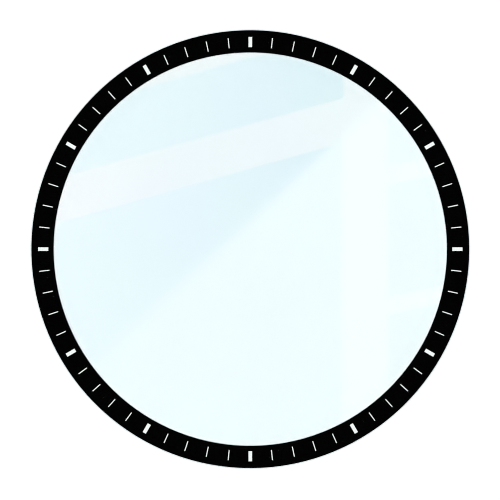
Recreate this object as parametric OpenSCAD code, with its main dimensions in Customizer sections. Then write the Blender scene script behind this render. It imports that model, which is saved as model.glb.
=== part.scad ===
// Round screen protector for a smartwatch. A tempered cover glass has a black border and a white minute
// scale printed on its underside, and is laminated to a clear shatter film. A clear adhesive on the film
// holds the protector to the watch, and a release liner covers it until then.
// The liner lies on z = 0, the axis of the disc is Z, and +Y points to the mark at twelve o'clock.

/* [Cover glass] */
// Outer diameter of the glass
glass_d = 39.5; // [30:0.5:50]
// Thickness of the glass in its flat middle
glass_t = 0.33; // [0.3:0.01:0.6]
// Fall of the curved shoulder from the flat middle to the rim
shoulder_drop = 0.18; // [0.06:0.01:0.2]
// Chamfer ground on the lower edge of the rim
rim_chamfer = 0.04; // [0.01:0.01:0.05]

/* [Border print] */
// Clear glass left outside the black print
print_margin = 0.05; // [0.05:0.01:0.2]
// Width of the black ring
border_w = 2.01; // [1.75:0.01:4]
// Thickness of the black print
border_t = 0.03; // [0.02:0.005:0.06]

/* [Minute scale] */
// Black left between the outer ends of the marks and the outer edge of the ring
mark_inset = 0.62; // [0.2:0.01:0.8]
// Length of every mark, along the radius
mark_l = 0.91; // [0.4:0.01:1.15]
// Width of an hour mark
hour_mark_w = 0.32; // [0.2:0.01:0.6]
// Width of a minute mark
minute_mark_w = 0.08; // [0.06:0.01:0.18]
// Thickness of the white print, which is printed before the black
mark_t = 0.015; // [0.005:0.005:0.015]

/* [Film and adhesives] */
// Gap from the rim of the glass in to the edge of the film and both adhesives, which are cut together
film_inset = 0.1; // [0.06:0.01:0.4]
// Thickness of the adhesive between the film and the print
lamination_t = 0.05; // [0.02:0.005:0.15]
// Thickness of the shatter film
film_t = 0.1; // [0.05:0.005:0.2]
// Thickness of the adhesive that faces the watch
mounting_t = 0.075; // [0.02:0.005:0.2]

/* [Release liner] */
// Thickness of the liner
liner_t = 0.05; // [0.036:0.001:0.2]
// Gap from the rim of the glass in to the edge of the liner
liner_inset = 0; // [0:0.01:0.05]

/* [Hidden] */
glass_r = glass_d / 2;
print_r = glass_r - print_margin;
window_r = print_r - border_w;
film_r = glass_r - film_inset;
liner_r = glass_r - liner_inset;

mounting_z = liner_t;
film_z = mounting_z + mounting_t;
lamination_z = film_z + film_t;
print_z = lamination_z + lamination_t;
glass_z = print_z + border_t;

// The shoulder starts level at the edge of the window, so the whole clear view is flat.
shoulder_w = glass_r - window_r;
shoulder_r = (shoulder_w * shoulder_w + shoulder_drop * shoulder_drop) / (2 * shoulder_drop);

// The marks' inner ends, their lower faces, and how far a cutter runs past the faces of the black print
mark_inner_r = print_r - mark_inset - mark_l;
mark_z = glass_z - mark_t;
cut_over = border_t;

// One hour is five minutes of six degrees
clock_hours = 12;
minutes_per_hour = 5;
hour_step = 360 / clock_hours;
minute_step = hour_step / minutes_per_hour;

$fn = 360;

glass_colour = [0.86, 0.96, 0.98, 0.35];
black_ink = [0.01, 0.01, 0.01];
white_ink = [0.97, 0.97, 0.95];
clear_adhesive = [0.93, 0.97, 0.98, 0.3];
film_colour = [0.84, 0.94, 0.98, 0.35];
liner_colour = [0.92, 0.95, 0.97, 0.35];

function hour_mark_name(hour) = str("hour_mark_", hour);
function minute_marks_name(hour) = str("minute_marks_", hour);

// Turns a child that points to twelve o'clock round to a time on the scale
module at_time(hour, minutes = 0) {
    rotate([0, 0, -(hour * hour_step + minutes * minute_step)])
        children();
}

// A bar at twelve o'clock, standing on the white print's lower face
module mark_bar(width, height) {
    translate([-width / 2, mark_inner_r, mark_z])
        cube([width, mark_l, height]);
}

module hour_bar(hour, height) {
    at_time(hour)
        mark_bar(hour_mark_w, height);
}

module minute_bars(hour, height) {
    for (minutes = [1:minutes_per_hour - 1])
        at_time(hour, minutes)
            mark_bar(minute_mark_w, height);
}

// Half section of the glass: flat middle, arc shoulder, upright rim and lower chamfer
module glass_section() {
    difference() {
        union() {
            square([window_r, glass_t]);
            translate([window_r, 0])
                intersection() {
                    square([shoulder_w, glass_t]);
                    translate([0, glass_t - shoulder_r])
                        circle(r = shoulder_r, $fn = 720);
                }
        }
        translate([glass_r, 0])
            rotate(45)
                square(rim_chamfer * sqrt(2), center = true);
    }
}

module cover_glass() {
    color(glass_colour)
        translate([0, 0, glass_z])
            rotate_extrude()
                glass_section();
}

// The white marks are printed first, so the black flows round them and leaves a blind pocket for each
module border_print() {
    color(black_ink)
        difference() {
            translate([0, 0, print_z])
                cylinder(r = print_r, h = border_t);
            translate([0, 0, print_z - cut_over])
                cylinder(r = window_r, h = border_t + 2 * cut_over);
            for (hour = [1:clock_hours]) {
                hour_bar(hour, mark_t + cut_over);
                minute_bars(hour, mark_t + cut_over);
            }
        }
}

module hour_mark(hour) {
    color(white_ink)
        hour_bar(hour, mark_t);
}

module minute_marks(hour) {
    color(white_ink)
        minute_bars(hour, mark_t);
}

// Under the ring the adhesive is thin, and inside it rises to fill the window up to the glass
module lamination_adhesive() {
    color(clear_adhesive)
        translate([0, 0, lamination_z])
            rotate_extrude()
                polygon([
                    [0, 0],
                    [film_r, 0],
                    [film_r, lamination_t],
                    [window_r, lamination_t],
                    [window_r, lamination_t + border_t],
                    [0, lamination_t + border_t]
                ]);
}

module shatter_film() {
    color(film_colour)
        translate([0, 0, film_z])
            cylinder(r = film_r, h = film_t);
}

module mounting_adhesive() {
    color(clear_adhesive)
        translate([0, 0, mounting_z])
            cylinder(r = film_r, h = mounting_t);
}

module release_liner() {
    color(liner_colour)
        cylinder(r = liner_r, h = liner_t);
}

cover_glass();
border_print();
lamination_adhesive();
shatter_film();
mounting_adhesive();
release_liner();
for (hour = [1:clock_hours]) {
    hour_mark(hour);
    minute_marks(hour);
}
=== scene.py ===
"""Round laminated screen protector for a smartwatch, lying on its release liner and seen square from above.

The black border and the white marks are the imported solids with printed-ink finishes. The five clear layers
are surfaces of revolution with the curved shoulder, soft corners and trimmed edges of the real sheets.
"""

import bpy
import numpy as np
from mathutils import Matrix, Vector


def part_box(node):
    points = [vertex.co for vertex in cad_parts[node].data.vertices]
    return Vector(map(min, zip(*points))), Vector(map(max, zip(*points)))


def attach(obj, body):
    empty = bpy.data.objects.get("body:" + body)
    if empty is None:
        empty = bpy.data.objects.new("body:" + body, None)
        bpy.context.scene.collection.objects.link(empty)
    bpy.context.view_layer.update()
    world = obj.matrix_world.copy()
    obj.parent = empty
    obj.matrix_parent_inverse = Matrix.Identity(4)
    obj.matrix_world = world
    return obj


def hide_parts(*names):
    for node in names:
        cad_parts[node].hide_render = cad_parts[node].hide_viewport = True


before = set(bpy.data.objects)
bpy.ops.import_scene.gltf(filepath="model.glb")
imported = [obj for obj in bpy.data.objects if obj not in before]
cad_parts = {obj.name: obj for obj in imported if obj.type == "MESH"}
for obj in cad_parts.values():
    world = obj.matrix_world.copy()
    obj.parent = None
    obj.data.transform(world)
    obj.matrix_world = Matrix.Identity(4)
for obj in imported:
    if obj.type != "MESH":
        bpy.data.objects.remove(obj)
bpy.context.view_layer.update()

MM = 0.001
MICRON = 1e-6

# Photograph: its size, and where the black disc lies in it, in pixels
PHOTO_PX = 500
DISC_CENTRE_PX = (250.30, 249.15)
DISC_RADIUS_PX = 219.04

# Camera: focal length and film width in mm, and how near and how far it sees
LENS = 100
FILM = 36
NEAR = 1 * MM
FAR = 10

# Radii and levels of the layers, from the frame
glass_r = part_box("cover_glass")[1].x
film_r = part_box("shatter_film")[1].x
liner_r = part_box("release_liner")[1].x
print_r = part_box("border_print")[1].x
glass_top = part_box("cover_glass")[1].z
print_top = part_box("border_print")[1].z

# Shape of the glass and of the print
BORDER_W = 2.01 * MM
SHOULDER_DROP = 0.18 * MM
RIM_CHAMFER = 0.04 * MM
window_r = print_r - BORDER_W

# How far each clear layer stays inside its solid, so that no two faces lie in one plane
INSET = 2 * MICRON
# Soft radii: the seamed edge of the glass, its ground corners, and the trimmed edges of film and liner
EDGE_ROUND = 0.03 * MM
GROUND_CORNER = 0.01 * MM
TRIM_CORNER = 0.008 * MM
# How far the edge of an adhesive draws back between the sheets
ADHESIVE_DRAW = 0.006 * MM
# Depth of the outermost skin of a sheet that takes the finish of its cut wall
WALL_DEPTH = ADHESIVE_DRAW + INSET

# Parts of a full turn, of a soft corner, of the seamed edge and of the shoulder
TURN = 512
CORNER_STEPS = 6
EDGE_STEPS = 8
SHOULDER_STEPS = 40
# Points that keep the flats flat: how far from a corner, in reaches of its curve, and from the shoulder
CORNER_HOLD = 1.5
FLAT_HOLD = 0.2 * MM

# Cells of slow unevenness in mm: tint of a sheet, polish of the glass, roll marks, ink film and ink grain
TINT_CELL = 8.333
POLISH_CELL = 2.5
ROLL_CELL = 3.333
INK_FILM_CELL = 2.0
INK_GRAIN_CELL = 0.5
# Noise stays near its middle, so this part of it is spread over the whole range of a finish
NOISE_SPAN = {"From Min": 0.3, "From Max": 0.7}
NOISE_DETAIL = 3.0
# Roughness of the ground rim of the glass
GROUND_ROUGHNESS = 0.28

# Printing mesh as drawn: its pitch in mm, how far its openings wander, and the distances from the middle of
# an opening between which the ink gets thinner, in pitches
MESH_PITCH = 0.14
MESH_WANDER = 0.15
THINNING = {"From Min": 0.1, "From Max": 0.6}

# Floor: the paper lies just under the part. Its own white and what the eye sees on top make it full white
FLOOR_LEVEL = -5 * MICRON
FLOOR_R = 3.0
PAPER_WHITE = 0.32
PAPER_LIFT = 0.76

# Sky: its level, and the heights, as sines, between which a mirror sees it go from white to a black flag
SKY_LEVEL = 0.89
FLAG_EDGE = {"From Min": 0.62, "From Max": 0.8, "To Min": 1.0, "To Max": 0.0}
# Softboxes: how far they stand from the object, and their width
SOFTBOX_DISTANCE = 0.6
SOFTBOX_WIDTH = 0.35
# Card that the glass mirrors: its height over the glass, and its strength
CARD_HEIGHT = 250 * MM
CARD_STRENGTH = 1.64

# Window light as it lies on the glass. Slopes are in degrees, and places are in mm from the centre
SHADOW_SLOPE = 42.7
SHADOW_PLACE = 1.93
BROAD_BAR_SLOPE = 15.7
BROAD_BAR = (6.96, 10.82)
SLIVER_SLOPE = 16.2
SLIVER_PLACE = 16.57
PATCH_PLACE = 8.34
UPRIGHT_BAR = (8.2, 12.38)
SHORT_BAR_SLOPE = 12
SHORT_BARS = ((3.1, 4.7), (-8.3, -6.8))
# Widths of its soft edges in mm: the shadow, the sliver, the other warm panes, the bright bars and their ends
SHADOW_SOFT = 1.5
SLIVER_SOFT = 0.4
PANE_SOFT = 0.15
BAR_SOFT = 0.12
END_SOFT = 0.1
# Its levels, from 0 at the deepest colour to 1 at white
FULL_LEVEL = 0.95
BAR_LEVEL = 1.34
SLIVER_LEVEL = 0.95
PATCH_LEVEL = 0.83
# Levels that fade between two places. The shade's does so along this way, and the bar's from left to right
SHADE_WAY = (0.99, 0.15, 0)
SHADE_FADE = {"From Min": -17.1, "From Max": 9.7, "To Min": 0.74, "To Max": 0.0}
BROAD_BAR_FADE = {"From Min": -16.0, "From Max": -6.0, "To Min": 1.2, "To Max": 0.83}
# Root of the rim's glow, which climbs with the distance from the axis up to the edge of the window
RIM_GLOW_ROOT = {"From Min": 17.1, "From Max": window_r / MM, "To Min": 0.0, "To Max": 1.12}

# Mix node that blends colours, and goes on past them where its factor does: settings and sockets
COLOURS = {"data_type": "RGBA", "clamp_factor": False}
COLOUR_A = 6
COLOUR_B = 7
COLOUR_OUT = 2


def linear(hex_colour):
    """An sRGB hex colour as linear red, green, blue and a full alpha, by the curve of the sRGB standard."""
    srgb = np.array([int(hex_colour[i:i + 2], 16) for i in (1, 3, 5)]) / 255
    return (*np.where(srgb <= 0.04045, srgb / 12.92, ((srgb + 0.055) / 1.055) ** 2.4), 1.0)


def add(tree, kind, inputs=None, **settings):
    """Adds a node with its settings. Each input takes a number, a colour or another node's output."""
    made = tree.nodes.new(kind)
    for name, value in settings.items():
        setattr(made, name, value)
    for key, value in (inputs or {}).items():
        if isinstance(value, bpy.types.NodeSocket):
            tree.links.new(value, made.inputs[key])
        else:
            made.inputs[key].default_value = value
    return made


def place_camera():
    """Looks straight down, twelve o'clock up, from where the black disc has its size in the photograph."""
    pixel = print_r / DISC_RADIUS_PX
    half_view = PHOTO_PX / 2 * pixel
    data = bpy.data.cameras.new("camera")
    data.lens = LENS
    data.sensor_width = FILM
    data.clip_start = NEAR
    data.clip_end = FAR
    camera = bpy.data.objects.new("camera", data)
    camera.location = (
        (PHOTO_PX / 2 - DISC_CENTRE_PX[0]) * pixel,
        (DISC_CENTRE_PX[1] - PHOTO_PX / 2) * pixel,
        print_top + half_view / (FILM / 2 / LENS),
    )
    bpy.context.scene.collection.objects.link(camera)
    bpy.context.scene.camera = camera
    return camera


camera = place_camera()

# Card that the glass mirrors to the camera: how many times as wide it is as its image there, and its centre
card_scale = 1 + CARD_HEIGHT / (camera.location.z - glass_top)
card_centre = [camera.location[i] * (1 - card_scale) for i in (0, 1)]


def arc(centre_r, centre_z, radius, start, end, steps):
    """Points (r, z) = centre + radius (cos a, sin a), for angles a from start to end in radians."""
    angle = np.linspace(start, end, steps + 1)
    return np.stack([centre_r + radius * np.cos(angle), centre_z + radius * np.sin(angle)], axis=1)


def softened(corners, reach):
    """A line through corners (r, z), each but the first and last rounded by the quadratic curve
    (1-s)^2 start + 2s(1-s) corner + s^2 end, where start and end lie at reach from the corner."""
    corners = np.asarray(corners, float)
    s = np.linspace(0, 1, CORNER_STEPS + 1)[:, None]
    parts = [corners[:1]]
    for before, corner, after in zip(corners, corners[1:], corners[2:]):
        back = (before - corner) / np.linalg.norm(before - corner)
        ahead = (after - corner) / np.linalg.norm(after - corner)
        start, end = corner + reach * back, corner + reach * ahead
        parts.append([corner + CORNER_HOLD * reach * back])
        parts.append((1 - s) ** 2 * start + 2 * s * (1 - s) * corner + s ** 2 * end)
        parts.append([corner + CORNER_HOLD * reach * ahead])
    parts.append(corners[-1:])
    return np.concatenate(parts)


def drawn_back(profile, radius, low, high, depth):
    """Moves the outer wall of a profile in by depth 4 s (1-s), where s is 0 at its foot and 1 at its head."""
    s = np.clip((profile[:, 1] - low) / (high - low), 0, 1)
    outer = profile[:, 0] > radius - 2 * TRIM_CORNER
    moved = profile.copy()
    moved[:, 0] -= np.where(outer, depth * 4 * s * (1 - s), 0)
    return moved


def revolve(name, profile):
    """A closed surface of revolution. Point (i, j) is (r_i cos t_j, r_i sin t_j, z_i), where t_j goes once
    round and the profile (r_i, z_i) runs from the axis below, outwards, and back to the axis above."""
    r, z = profile[1:-1].T
    t = np.linspace(0, 2 * np.pi, TURN, endpoint=False)
    x, y = np.outer(r, np.cos(t)), np.outer(r, np.sin(t))
    rings = np.stack(np.broadcast_arrays(x, y, z[:, None]), axis=-1)
    poles = [[0, 0, profile[0, 1]], [0, 0, profile[-1, 1]]]
    points = np.concatenate([rings.reshape(-1, 3), poles])
    this, following = np.arange(TURN), (np.arange(TURN) + 1) % TURN
    row = np.arange(len(r) - 1)[:, None] * TURN
    walls = np.stack([row + this, row + following, row + TURN + following, row + TURN + this], axis=-1)
    last = (len(r) - 1) * TURN
    below = np.stack([np.full(TURN, len(points) - 2), following, this], axis=-1)
    above = np.stack([np.full(TURN, len(points) - 1), last + this, last + following], axis=-1)
    mesh = bpy.data.meshes.new(name)
    mesh.from_pydata(points.tolist(), [], walls.reshape(-1, 4).tolist() + below.tolist() + above.tolist())
    mesh.shade_smooth()
    piece = bpy.data.objects.new(name, mesh)
    bpy.context.scene.collection.objects.link(piece)
    return piece


def layer_levels(node):
    """Lower and upper level of a clear layer, just inside its solid."""
    low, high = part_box(node)
    return low.z + INSET, high.z - INSET


def glass_profile():
    """Ground chamfer below, upright rim, soft edge, and an arc shoulder that ends level at the window."""
    low, high = layer_levels("cover_glass")
    outer = glass_r - INSET
    width = outer - window_r
    radius = (width ** 2 + SHOULDER_DROP ** 2) / (2 * SHOULDER_DROP)
    # The soft edge and the shoulder touch where cos a = (width - edge) / (radius - edge)
    meet = np.arccos((width - EDGE_ROUND) / (radius - EDGE_ROUND))
    centre_z = high - radius
    edge_r = window_r + (radius - EDGE_ROUND) * np.cos(meet)
    edge_z = centre_z + (radius - EDGE_ROUND) * np.sin(meet)
    corners = [(0, low), (outer - RIM_CHAMFER, low), (outer, low + RIM_CHAMFER), (outer, edge_z)]
    foot = softened(corners, GROUND_CORNER)
    seamed = arc(edge_r, edge_z, EDGE_ROUND, 0, meet, EDGE_STEPS)
    shoulder = arc(window_r, centre_z, radius, meet, np.pi / 2, SHOULDER_STEPS)
    flat = [(window_r - FLAT_HOLD, high), (0, high)]
    return np.concatenate([foot[:-1], seamed[:-1], shoulder, flat])


def sheet_profile(node, radius, draw=0.0):
    """A flat round sheet with trimmed corners. An adhesive's edge is drawn back between its neighbours."""
    low, high = layer_levels(node)
    outer = radius - INSET
    profile = softened([(0, low), (outer, low), (outer, high), (0, high)], TRIM_CORNER)
    return drawn_back(profile, outer, low, high, draw)


def lamination_profile():
    """The thin rim of the adhesive lies under the black print, and its raised middle fills the window."""
    low, high = layer_levels("lamination_adhesive")
    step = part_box("border_print")[0].z - INSET
    outer, inner = film_r - INSET, window_r - INSET
    corners = [(0, low), (outer, low), (outer, step), (inner, step), (inner, high), (0, high)]
    return drawn_back(softened(corners, TRIM_CORNER), outer, low, step, ADHESIVE_DRAW)


def material(name, shader_of):
    """A material whose surface is the shader that shader_of(tree) makes."""
    made = bpy.data.materials.new(name)
    made.use_nodes = True
    tree = made.node_tree
    tree.nodes.clear()
    add(tree, "ShaderNodeOutputMaterial", {"Surface": shader_of(tree)})
    return made


def in_mm(tree):
    """Places on the object in millimetres."""
    place = add(tree, "ShaderNodeTexCoord").outputs["Object"]
    return add(tree, "ShaderNodeVectorMath", {0: place, "Scale": 1 / MM}, operation="SCALE").outputs[0]


def mirrored_share(tree, ior):
    """Share of light that a clear surface mirrors by Schlick's rule f + (1-f)(1-cos)^5, from either side."""
    straight = ((ior - 1) / (ior + 1)) ** 2
    # At a blend of one half, Facing is 1-cos
    facing = add(tree, "ShaderNodeLayerWeight", {"Blend": 0.5}).outputs["Facing"]
    fifth = add(tree, "ShaderNodeMath", {0: facing, 1: 5.0}, operation="POWER").outputs[0]
    share = add(tree, "ShaderNodeMath", {0: fifth, 1: 1 - straight, 2: straight}, operation="MULTIPLY_ADD")
    return share.outputs[0]


def varied(tree, place, cell, low, high):
    """Uneven from low to high, in soft cells of that many millimetres."""
    waves = {"Vector": place, "Scale": 1 / cell, "Detail": NOISE_DETAIL}
    noise = add(tree, "ShaderNodeTexNoise", waves).outputs[0]
    spread = {"Value": noise, **NOISE_SPAN, "To Min": low, "To Max": high}
    return add(tree, "ShaderNodeMapRange", spread).outputs["Result"]


def off_axis(tree, place):
    """Distance from the axis of the disc."""
    flat = add(tree, "ShaderNodeVectorMath", {0: place, 1: (1, 1, 0)}, operation="MULTIPLY").outputs[0]
    return add(tree, "ShaderNodeVectorMath", {0: flat}, operation="LENGTH").outputs["Value"]


def outer_wall(tree, place, radius):
    """0 over the flat of a round sheet, rising to 1 on its outer wall."""
    rise = {
        "Value": off_axis(tree, place),
        "From Min": (radius - 2 * WALL_DEPTH) / MM,
        "From Max": (radius - WALL_DEPTH) / MM,
    }
    return add(tree, "ShaderNodeMapRange", rise).outputs["Result"]


def clear_sheet(tree, radius, tint, deep_tint, wall_colour, wall_share):
    """A clear sheet that its neighbours wet, so that no face of it mirrors. Each face tints what passes, and
    drifts slowly between two nearly equal tints. The cut outer wall is matt by wall_share."""
    place = in_mm(tree)
    waves = {"Vector": place, "Scale": 1 / TINT_CELL, "Detail": 0.0}
    drift = add(tree, "ShaderNodeTexNoise", waves).outputs[0]
    tints = {0: drift, COLOUR_A: linear(tint), COLOUR_B: linear(deep_tint)}
    shade = add(tree, "ShaderNodeMix", tints, **COLOURS).outputs[COLOUR_OUT]
    through = add(tree, "ShaderNodeBsdfTransparent", {"Color": shade}).outputs[0]
    matt = add(tree, "ShaderNodeBsdfDiffuse", {"Color": linear(wall_colour)}).outputs[0]
    wall = {0: outer_wall(tree, place, radius), 1: wall_share}
    share = add(tree, "ShaderNodeMath", wall, operation="MULTIPLY").outputs[0]
    return add(tree, "ShaderNodeMixShader", {0: share, 1: through, 2: matt}).outputs[0]


def skinned(tree, body, ior, roughness):
    """The mirroring skin that a sheet has where it meets air, over its body."""
    gloss = add(tree, "ShaderNodeBsdfGlossy", {"Color": (1, 1, 1, 1), "Roughness": roughness}).outputs[0]
    return add(tree, "ShaderNodeMixShader", {0: mirrored_share(tree, ior), 1: body, 2: gloss}).outputs[0]


def bonded_glass(tree):
    """The lower face of the glass, wetted by ink and adhesive. Ground edges show the green-blue depth of the
    sheet."""
    return clear_sheet(
        tree, glass_r, tint="#fdfefe", deep_tint="#fcfefe", wall_colour="#9fd3cf", wall_share=0.5,
    )


def polished_glass(tree):
    """Chemically tempered soda-lime glass, lapped and polished to a clean mirror, with a ground and frosted
    rim."""
    place = in_mm(tree)
    polish = varied(tree, place, POLISH_CELL, low=0.006, high=0.012)
    finish = {"Factor": outer_wall(tree, place, glass_r), "A": polish, "B": GROUND_ROUGHNESS}
    roughness = add(tree, "ShaderNodeMix", finish).outputs["Result"]
    return skinned(tree, bonded_glass(tree), ior=1.52, roughness=roughness)


def acrylic_adhesive(tree):
    """Optically clear acrylic, pressed flat between the glass and the film. Its cut edge is clean."""
    return clear_sheet(
        tree, film_r, tint="#fefefe", deep_tint="#fefeff", wall_colour="#dfeff2", wall_share=0.12,
    )


def polyester_film(tree):
    """Biaxially drawn clear polyester, all but colourless. Its die-cut edge looks milky."""
    return clear_sheet(
        tree, film_r, tint="#fefefe", deep_tint="#fefeff", wall_colour="#cfe6ee", wall_share=0.45,
    )


def silicone_adhesive(tree):
    """Soft clear silicone, cast smooth on the film. It mirrors weakly, and strongly only aslant."""
    body = clear_sheet(
        tree, film_r, tint="#fefefe", deep_tint="#fffefe", wall_colour="#e4f2f5", wall_share=0.1,
    )
    return skinned(tree, body, ior=1.2, roughness=0.012)


def release_polyester(tree):
    """Clear polyester dyed pale blue, so that it is easily found and peeled, with a baked silicone coat that
    is slightly uneven from the roll."""
    body = clear_sheet(
        tree, liner_r, tint="#f8fefe", deep_tint="#f8fdfe", wall_colour="#bfdfec", wall_share=0.4,
    )
    roll_marks = varied(tree, in_mm(tree), ROLL_CELL, low=0.01, high=0.02)
    return skinned(tree, body, ior=1.41, roughness=roll_marks)


def printed_ink(tree, colour, thin_colour):
    """Screen-printed glass ink. The mesh leaves a faint waffle of thinner dots. Its threads are 0.07 mm
    apart, drawn 0.14 mm apart so that they can show. The glass wets the ink, so it has no shine itself."""
    place = in_mm(tree)
    mesh = {"Vector": place, "Scale": 1 / MESH_PITCH, "Randomness": MESH_WANDER}
    from_opening = add(tree, "ShaderNodeTexVoronoi", mesh).outputs["Distance"]
    dots = add(tree, "ShaderNodeMapRange", {"Value": from_opening, **THINNING}).outputs["Result"]
    film = varied(tree, place, INK_FILM_CELL, low=0.4, high=1.0)
    thin = add(tree, "ShaderNodeMath", {0: dots, 1: film}, operation="MULTIPLY").outputs[0]
    shades = {0: thin, COLOUR_A: linear(colour), COLOUR_B: linear(thin_colour)}
    ink = {
        "Base Color": add(tree, "ShaderNodeMix", shades, **COLOURS).outputs[COLOUR_OUT],
        "Roughness": varied(tree, place, INK_GRAIN_CELL, low=0.5, high=0.65),
        "Specular IOR Level": 0.0,
    }
    return add(tree, "ShaderNodeBsdfPrincipled", ink).outputs[0]


def black_ink(tree):
    """Two-part black glass ink, dense enough to stop all light."""
    return printed_ink(tree, colour="#020202", thin_colour="#050505")


def white_ink(tree):
    """Two-part white glass ink, so full of titanium white that its thin coat hides the black behind it."""
    return printed_ink(tree, colour="#fdfdfc", thin_colour="#f9f9f7")


def dress(piece, body, node, materials):
    """Makes a piece stand for its node, with its finish, on the node's body."""
    for made in materials:
        piece.data.materials.append(made)
    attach(piece, body)
    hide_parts(node)
    return piece


def make_layers():
    """The five clear layers, from the glass down to the liner."""
    glass = dress(
        revolve("cover_glass_2_5d", glass_profile()), "protector", "cover_glass",
        [material("tempered_soda_lime_glass", polished_glass), material("bonded_glass_face", bonded_glass)],
    )
    # The flat underside of the glass takes the second material
    faces = glass.data.polygons
    centres = np.empty(len(faces) * 3)
    faces.foreach_get("center", centres)
    under = centres[2::3] < layer_levels("cover_glass")[0] + INSET / 2
    faces.foreach_set("material_index", under.astype(np.int32))
    dress(
        revolve("lamination_adhesive_fill", lamination_profile()), "protector", "lamination_adhesive",
        [material("optically_clear_acrylic_adhesive", acrylic_adhesive)],
    )
    dress(
        revolve("shatter_film_sheet", sheet_profile("shatter_film", film_r)), "protector", "shatter_film",
        [material("clear_polyester_film", polyester_film)],
    )
    dress(
        revolve("mounting_adhesive_coat", sheet_profile("mounting_adhesive", film_r, ADHESIVE_DRAW)),
        "protector", "mounting_adhesive",
        [material("clear_silicone_adhesive", silicone_adhesive)],
    )
    dress(
        revolve("release_liner_sheet", sheet_profile("release_liner", liner_r)), "liner", "release_liner",
        [material("silicone_coated_polyester", release_polyester)],
    )


def ink_the_print():
    """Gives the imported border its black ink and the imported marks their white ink."""
    black = material("screen_printed_black_ink", black_ink)
    white = material("screen_printed_white_ink", white_ink)
    for name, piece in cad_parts.items():
        if name == "border_print" or "mark" in name:
            piece.data.materials.clear()
            piece.data.materials.append(black if name == "border_print" else white)


def disc(name, radius, centre, level):
    """A flat round card: points centre + radius (cos t, sin t)."""
    t = np.linspace(0, 2 * np.pi, TURN, endpoint=False)
    x, y = centre[0] + radius * np.cos(t), centre[1] + radius * np.sin(t)
    points = np.stack([x, y, np.full(TURN, level)], axis=1)
    mesh = bpy.data.meshes.new(name)
    mesh.from_pydata(points.tolist(), [], [list(range(TURN))])
    card = bpy.data.objects.new(name, mesh)
    bpy.context.scene.collection.objects.link(card)
    return card


def edge(tree, value, at, soft):
    """0 below at and 1 above it, eased over soft millimetres."""
    eased = {"Value": value, "From Min": at - soft / 2, "From Max": at + soft / 2}
    return add(tree, "ShaderNodeMapRange", eased, interpolation_type="SMOOTHSTEP").outputs["Result"]


def strip(tree, value, ends, soft):
    """1 between two ends, with eased edges."""
    low, high = [edge(tree, value, end, soft) for end in ends]
    return add(tree, "ShaderNodeMath", {0: low, 1: high}, operation="SUBTRACT").outputs[0]


def above_line(tree, place, slope):
    """Distance above a line through the centre that climbs at slope degrees."""
    up = (-np.sin(np.radians(slope)), np.cos(np.radians(slope)), 0)
    return add(tree, "ShaderNodeVectorMath", {0: place, 1: up}, operation="DOT_PRODUCT").outputs["Value"]


def place_on_glass(tree):
    """Where the glass mirrors this point of the card to the photograph's camera, in mm from the centre."""
    place = add(tree, "ShaderNodeTexCoord").outputs["Object"]
    from_centre = {0: place, 1: (*card_centre, 0)}
    centred = add(tree, "ShaderNodeVectorMath", from_centre, operation="SUBTRACT").outputs[0]
    to_glass = {0: centred, "Scale": 1 / card_scale / MM}
    return add(tree, "ShaderNodeVectorMath", to_glass, operation="SCALE").outputs[0]


def full_light(tree, place, across):
    """Level of the light below the shadow's edge. One upright bar and two short slanted ones right of it are
    brighter."""
    upright = strip(tree, across, UPRIGHT_BAR, BAR_SOFT)
    slanted = above_line(tree, place, SHORT_BAR_SLOPE)
    upper, lower = [strip(tree, slanted, ends, BAR_SOFT) for ends in SHORT_BARS]
    pair = add(tree, "ShaderNodeMath", {0: upper, 1: lower}, operation="ADD").outputs[0]
    beyond = edge(tree, across, UPRIGHT_BAR[1], END_SOFT)
    short = add(tree, "ShaderNodeMath", {0: beyond, 1: pair}, operation="MULTIPLY").outputs[0]
    bars = add(tree, "ShaderNodeMath", {0: upright, 1: short}, operation="MAXIMUM").outputs[0]
    return add(tree, "ShaderNodeMix", {"Factor": bars, "A": FULL_LEVEL, "B": BAR_LEVEL}).outputs["Result"]


def shaded_light(tree, place, across):
    """Level of the light above the shadow's edge, and 1 where that light is warm. It fades to the right. A
    broad bar, a sliver of a pane at the top and a patch at the right are paler and warm."""
    along = add(tree, "ShaderNodeVectorMath", {0: place, 1: SHADE_WAY}, operation="DOT_PRODUCT")
    shade = {"Value": along.outputs["Value"], **SHADE_FADE}
    level = add(tree, "ShaderNodeMapRange", shade).outputs["Result"]
    bar = strip(tree, above_line(tree, place, BROAD_BAR_SLOPE), BROAD_BAR, PANE_SOFT)
    sliver = edge(tree, above_line(tree, place, SLIVER_SLOPE), SLIVER_PLACE, SLIVER_SOFT)
    patch = edge(tree, across, PATCH_PLACE, PANE_SOFT)
    bar_level = add(tree, "ShaderNodeMapRange", {"Value": across, **BROAD_BAR_FADE}).outputs["Result"]
    warm = 0.0
    for pane, pane_level in ((bar, bar_level), (sliver, SLIVER_LEVEL), (patch, PATCH_LEVEL)):
        level = add(tree, "ShaderNodeMix", {"Factor": pane, "A": level, "B": pane_level}).outputs["Result"]
        warm = add(tree, "ShaderNodeMath", {0: warm, 1: pane}, operation="MAXIMUM").outputs[0]
    return level, warm


def rim_glow(tree, place):
    """Glow that gathers towards the border, as the square of an even slope."""
    slope = {"Value": off_axis(tree, place), **RIM_GLOW_ROOT}
    root = add(tree, "ShaderNodeMapRange", slope).outputs["Result"]
    return add(tree, "ShaderNodeMath", {0: root, 1: root}, operation="MULTIPLY").outputs[0]


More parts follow.
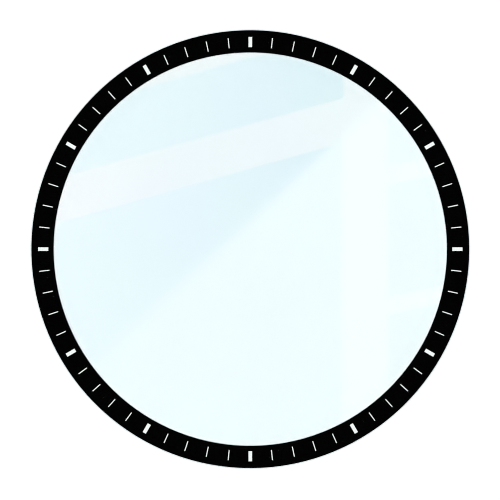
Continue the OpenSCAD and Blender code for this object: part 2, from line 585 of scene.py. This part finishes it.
def window_light(tree):
    """Daylight from a barred window, as it lies on the glass. The soft edge of a shadow climbs at 43 degrees.
    Below it the light is full and faintly creamy. Above it the light is weaker, and warm in three panes. The
    weaker the light, the nearer it is to a deep blue-green. The rim glows."""
    place = place_on_glass(tree)
    across = add(tree, "ShaderNodeSeparateXYZ", {0: place}).outputs["X"]
    shadow = edge(tree, above_line(tree, place, SHADOW_SLOPE), SHADOW_PLACE, SHADOW_SOFT)
    shaded, warm = shaded_light(tree, place, across)
    light = {"Factor": shadow, "A": full_light(tree, place, across), "B": shaded}
    level = add(tree, "ShaderNodeMix", light).outputs["Result"]

    colour = linear("#ffdfd9")
    for share, colour_without in ((warm, "#ffffff"), (shadow, "#fffbf0"), (level, "#369fb4")):
        blend = {0: share, COLOUR_A: linear(colour_without), COLOUR_B: colour}
        colour = add(tree, "ShaderNodeMix", blend, **COLOURS).outputs[COLOUR_OUT]
    glowing = {0: rim_glow(tree, place), COLOUR_A: colour, COLOUR_B: linear("#ffe4da")}
    colour = add(tree, "ShaderNodeMix", glowing, blend_type="ADD", **COLOURS).outputs[COLOUR_OUT]
    return add(tree, "ShaderNodeEmission", {"Color": colour, "Strength": CARD_STRENGTH}).outputs[0]


def seen_or_mirrored(tree):
    """1 for rays that show a thing to the eye, straight, mirrored or through glass, and 0 for those that
    light it."""
    path = add(tree, "ShaderNodeLightPath").outputs
    seen = path["Is Camera Ray"]
    for kind in ("Is Glossy Ray", "Is Transmission Ray"):
        seen = add(tree, "ShaderNodeMath", {0: seen, 1: path[kind]}, operation="MAXIMUM").outputs[0]
    return seen


def white_paper(tree):
    """Matt background paper, lifted to white for the eye alone, so that it keeps the object's shadow. It is
    there from above only, so that the part's underside can be seen from below."""
    own_white = (PAPER_WHITE, PAPER_WHITE, PAPER_WHITE, 1)
    matt = add(tree, "ShaderNodeBsdfDiffuse", {"Color": own_white}).outputs[0]
    for_the_eye = {0: seen_or_mirrored(tree), 1: PAPER_LIFT}
    lift = add(tree, "ShaderNodeMath", for_the_eye, operation="MULTIPLY").outputs[0]
    glow = add(tree, "ShaderNodeEmission", {"Strength": lift}).outputs[0]
    paper = add(tree, "ShaderNodeAddShader", {0: matt, 1: glow}).outputs[0]
    from_below = add(tree, "ShaderNodeNewGeometry").outputs["Backfacing"]
    nothing = add(tree, "ShaderNodeBsdfTransparent").outputs[0]
    return add(tree, "ShaderNodeMixShader", {0: from_below, 1: paper, 2: nothing}).outputs[0]


def make_world():
    """White all round for the eye. Mirrors see white near the horizon and a black flag overhead."""
    world = bpy.data.worlds.new("studio")
    world.use_nodes = True
    tree = world.node_tree
    tree.nodes.clear()
    path = add(tree, "ShaderNodeLightPath").outputs
    towards = add(tree, "ShaderNodeTexCoord").outputs["Generated"]
    height = add(tree, "ShaderNodeSeparateXYZ", {0: towards}).outputs["Z"]
    flag = {"Value": height, **FLAG_EDGE}
    mirrored = add(tree, "ShaderNodeMapRange", flag, interpolation_type="SMOOTHSTEP").outputs["Result"]
    sky = {"Factor": path["Is Glossy Ray"], "A": SKY_LEVEL, "B": mirrored}
    strength = add(tree, "ShaderNodeMix", sky).outputs["Result"]
    eye_rays = {0: path["Is Camera Ray"], 1: path["Is Transmission Ray"]}
    seen = add(tree, "ShaderNodeMath", eye_rays, operation="MAXIMUM").outputs[0]
    strength = add(tree, "ShaderNodeMix", {"Factor": seen, "A": strength, "B": 1.0}).outputs["Result"]
    background = add(tree, "ShaderNodeBackground", {"Color": (1, 1, 1, 1), "Strength": strength}).outputs[0]
    add(tree, "ShaderNodeOutputWorld", {"Surface": background})
    bpy.context.scene.world = world


def lamp(name, from_above, turn, share):
    """A square softbox, from_above degrees from the zenith and turn degrees round from +X. It adds share to
    the level of a white that lies flat, by a power of share pi^2 distance^2 / cos(from_above). The glass
    doesn't mirror it, because it would hide the whole window."""
    tilt, around = np.radians(from_above), np.radians(turn)
    data = bpy.data.lights.new(name, "AREA")
    data.size = SOFTBOX_WIDTH
    data.energy = share * np.pi ** 2 * SOFTBOX_DISTANCE ** 2 / np.cos(tilt)
    made = bpy.data.objects.new(name, data)
    out = np.array([np.sin(tilt) * np.cos(around), np.sin(tilt) * np.sin(around), np.cos(tilt)])
    made.location = SOFTBOX_DISTANCE * out
    made.rotation_euler = (tilt, 0, around + np.pi / 2)
    made.visible_glossy = False
    bpy.context.scene.collection.objects.link(made)


def light_the_set():
    """A white floor, an even sky, two soft lamps low enough to stay out of the flat glass, and the card."""
    make_world()
    floor = disc("paper_floor", FLOOR_R, (0, 0), FLOOR_LEVEL)
    floor.data.materials.append(material("white_background_paper", white_paper))
    lamp("key_softbox", from_above=58, turn=135, share=0.18)
    lamp("fill_softbox", from_above=62, turn=-40, share=0.1)
    card = disc("window_light_card", window_r * card_scale, card_centre, glass_top + CARD_HEIGHT)
    card.data.materials.append(material("barred_window_light", window_light))
    card.visible_camera = False
    card.visible_diffuse = False
    card.visible_transmission = False
    card.visible_shadow = False


make_layers()
ink_the_print()
light_the_set()

scene = bpy.context.scene
scene.view_settings.view_transform = "Standard"
# A ray through the whole laminate meets ten clear faces, and a slanted one more
scene.cycles.transparent_max_bounces = 32
scene.cycles.max_bounces = 6
scene.cycles.diffuse_bounces = 2
# The photograph is as sharp as a drawing
scene.cycles.filter_width = 1.0
# With its guide passes the denoiser would leave the upper part of the window grainy
scene.cycles.denoising_input_passes = "RGB"
